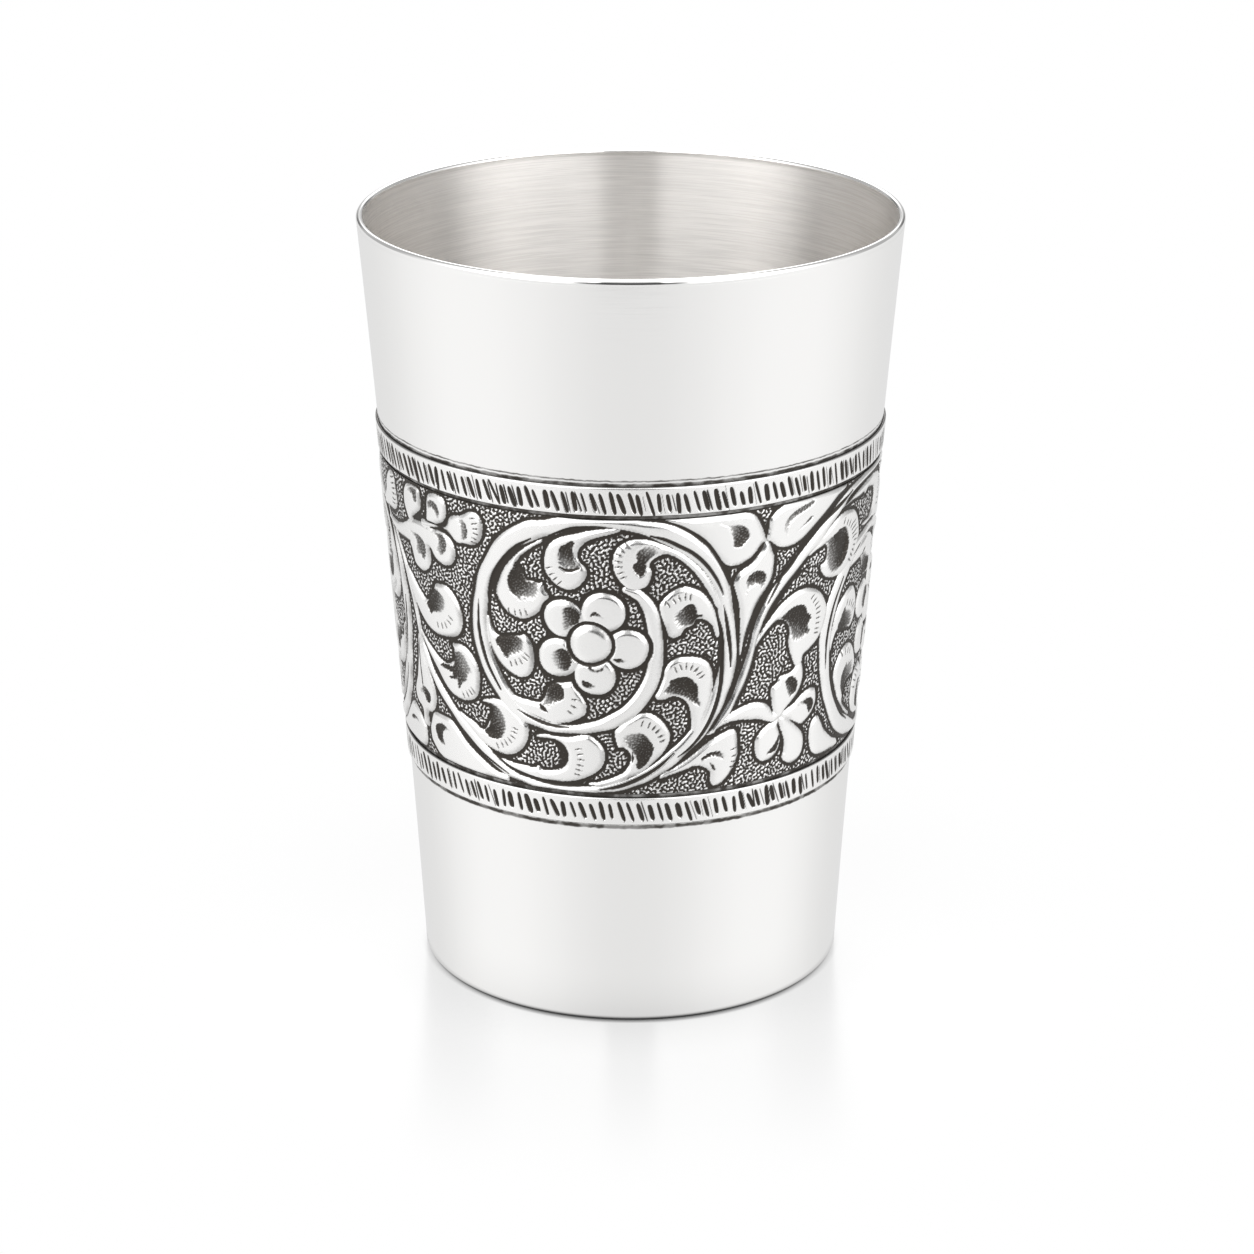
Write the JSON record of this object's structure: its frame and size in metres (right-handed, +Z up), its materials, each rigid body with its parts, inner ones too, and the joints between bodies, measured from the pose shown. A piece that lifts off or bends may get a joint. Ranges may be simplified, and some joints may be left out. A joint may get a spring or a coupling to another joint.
{
  "type": "silver glass holder",
  "caption": "Tapered tumbler-shaped silver holder with a round wire rim, a flat base and a chased scroll band between hatched borders, to hold a drinking glass.",
  "frame": {"origin": "centre of the foot, on the table", "axes": "+Z up along the cup's axis, +X to the right and +Y away from the viewer as pictured"},
  "size_m": [0.0722, 0.0722, 0.104],
  "materials": {
    "polished_silver": "mirror polish",
    "satin_silver": "satin, turned",
    "oxidised_silver": "chased, dark oxide in the recesses"
  },
  "bodies": {
    "root": {"cup_wall": "polished_silver", "base_disc": "satin_silver", "rim_wire": "polished_silver", "lower_border": "oxidised_silver", "chased_band": "oxidised_silver", "upper_border": "oxidised_silver"}
  },
  "joints": []
}
